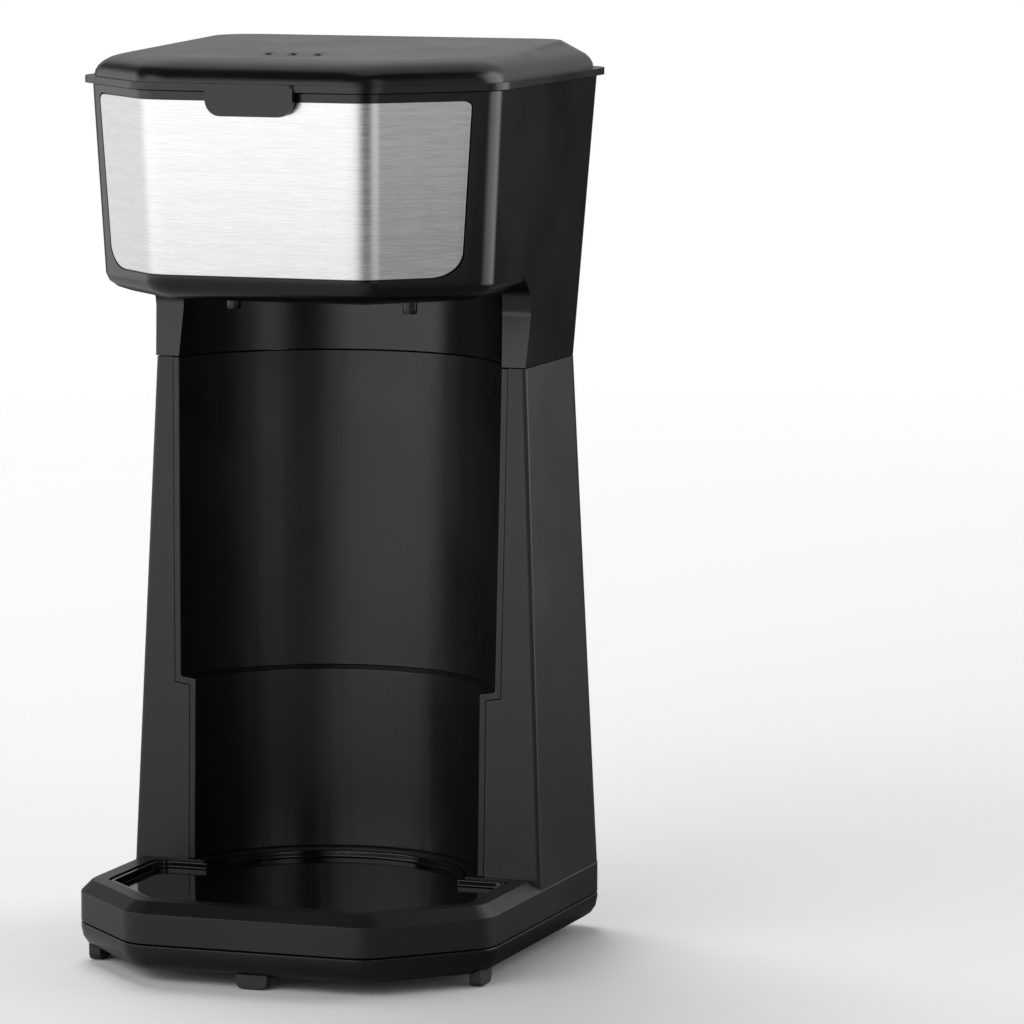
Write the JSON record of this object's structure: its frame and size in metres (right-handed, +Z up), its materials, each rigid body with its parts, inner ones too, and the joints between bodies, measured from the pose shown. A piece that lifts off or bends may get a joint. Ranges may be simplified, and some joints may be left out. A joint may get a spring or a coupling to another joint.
{
  "type": "drip coffee maker",
  "caption": "Small drip coffee maker: faceted head with steel front and hinged lid over an open cup bay, on a base with a lift-out tray.",
  "frame": {"origin": "centre of the bounding box's underside, on the surface that the feet stand on", "axes": "+X to the right for someone facing the front, +Y to the back (the front faces -Y), +Z up"},
  "size_m": [0.142, 0.15, 0.2918],
  "materials": {
    "satin_black": "fine satin moulding grain",
    "gloss_black": "polished",
    "inner_plastic": "smooth moulded",
    "brushed_panel": "horizontal brushing",
    "foot_rubber": "matte",
    "silicone": "translucent satin",
    "clear_plastic": "natural moulded plastic",
    "steel_parts": "plated steel",
    "filter_gauze": "fine woven gauze, gold tone",
    "boiler_alloy": "extruded",
    "element_sheath": "heat-tinted sheath",
    "bakelite": "phenolic",
    "fuse_ceramic": "ceramic white",
    "rocker_red": "glossy red",
    "lamp_amber": "tinted lens"
  },
  "bodies": {
    "root": {"upper_housing": "satin_black", "steel_panel": "brushed_panel", "lower_housing": "satin_black", "bay_liner": "satin_black", "rear_cover": "satin_black", "bottom_plate": "satin_black", "foot_front": "foot_rubber", "foot_left": "foot_rubber", "foot_right": "foot_rubber", "foot_rear": "foot_rubber", "hinge_pin": "steel_parts", "water_tank": "inner_plastic", "tank_screen": "steel_parts", "brew_chamber": "inner_plastic", "brew_basket": "gloss_black", "filter_frame": "gloss_black", "filter_mesh": "filter_gauze", "riser_tube": "clear_plastic", "riser_grommet": "silicone", "tank_hose": "silicone", "inlet_hose": "silicone", "riser_hose": "silicone", "hose_clips": "steel_parts", "valve_body": "clear_plastic", "boiler_tube": "boiler_alloy", "heating_element": "element_sheath", "boiler_straps": "steel_parts", "thermostat": "bakelite", "thermal_fuse": "fuse_ceramic", "switch_frame": "gloss_black", "power_light": "lamp_amber", "cord_gland": "foot_rubber", "terminal_block": "fuse_ceramic", "base_screws": "steel_parts", "cover_screws": "steel_parts"},
    "lid": {"lid": "satin_black", "lid_liner": "inner_plastic", "water_channel": "inner_plastic", "shower_plate": "inner_plastic", "channel_seal": "silicone"},
    "tray": {"drip_tray": "gloss_black"},
    "rocker": {"switch_rocker": "rocker_red"},
    "ball": {"valve_ball": "steel_parts"}
  },
  "joints": [
    {"name": "lid_hinge", "type": "hinge", "parent": "root", "child": "lid", "pos_m": [0, 0.072, 0.2819], "axis": [-1, 0, 0], "range_deg": [0, 100]},
    {"name": "tray_lift", "type": "slide", "parent": "root", "child": "tray", "axis": [0, 0, 1], "range_m": [0, 0.06]},
    {"name": "switch_rock", "type": "hinge", "parent": "root", "child": "rocker", "pos_m": [-0.06416, 0.04, 0.11991], "axis": [0, 1, 0], "range_deg": [0, 16]},
    {"name": "valve_lift", "type": "slide", "parent": "root", "child": "ball", "axis": [0, 0, 1], "range_m": [0, 0.002]}
  ]
}
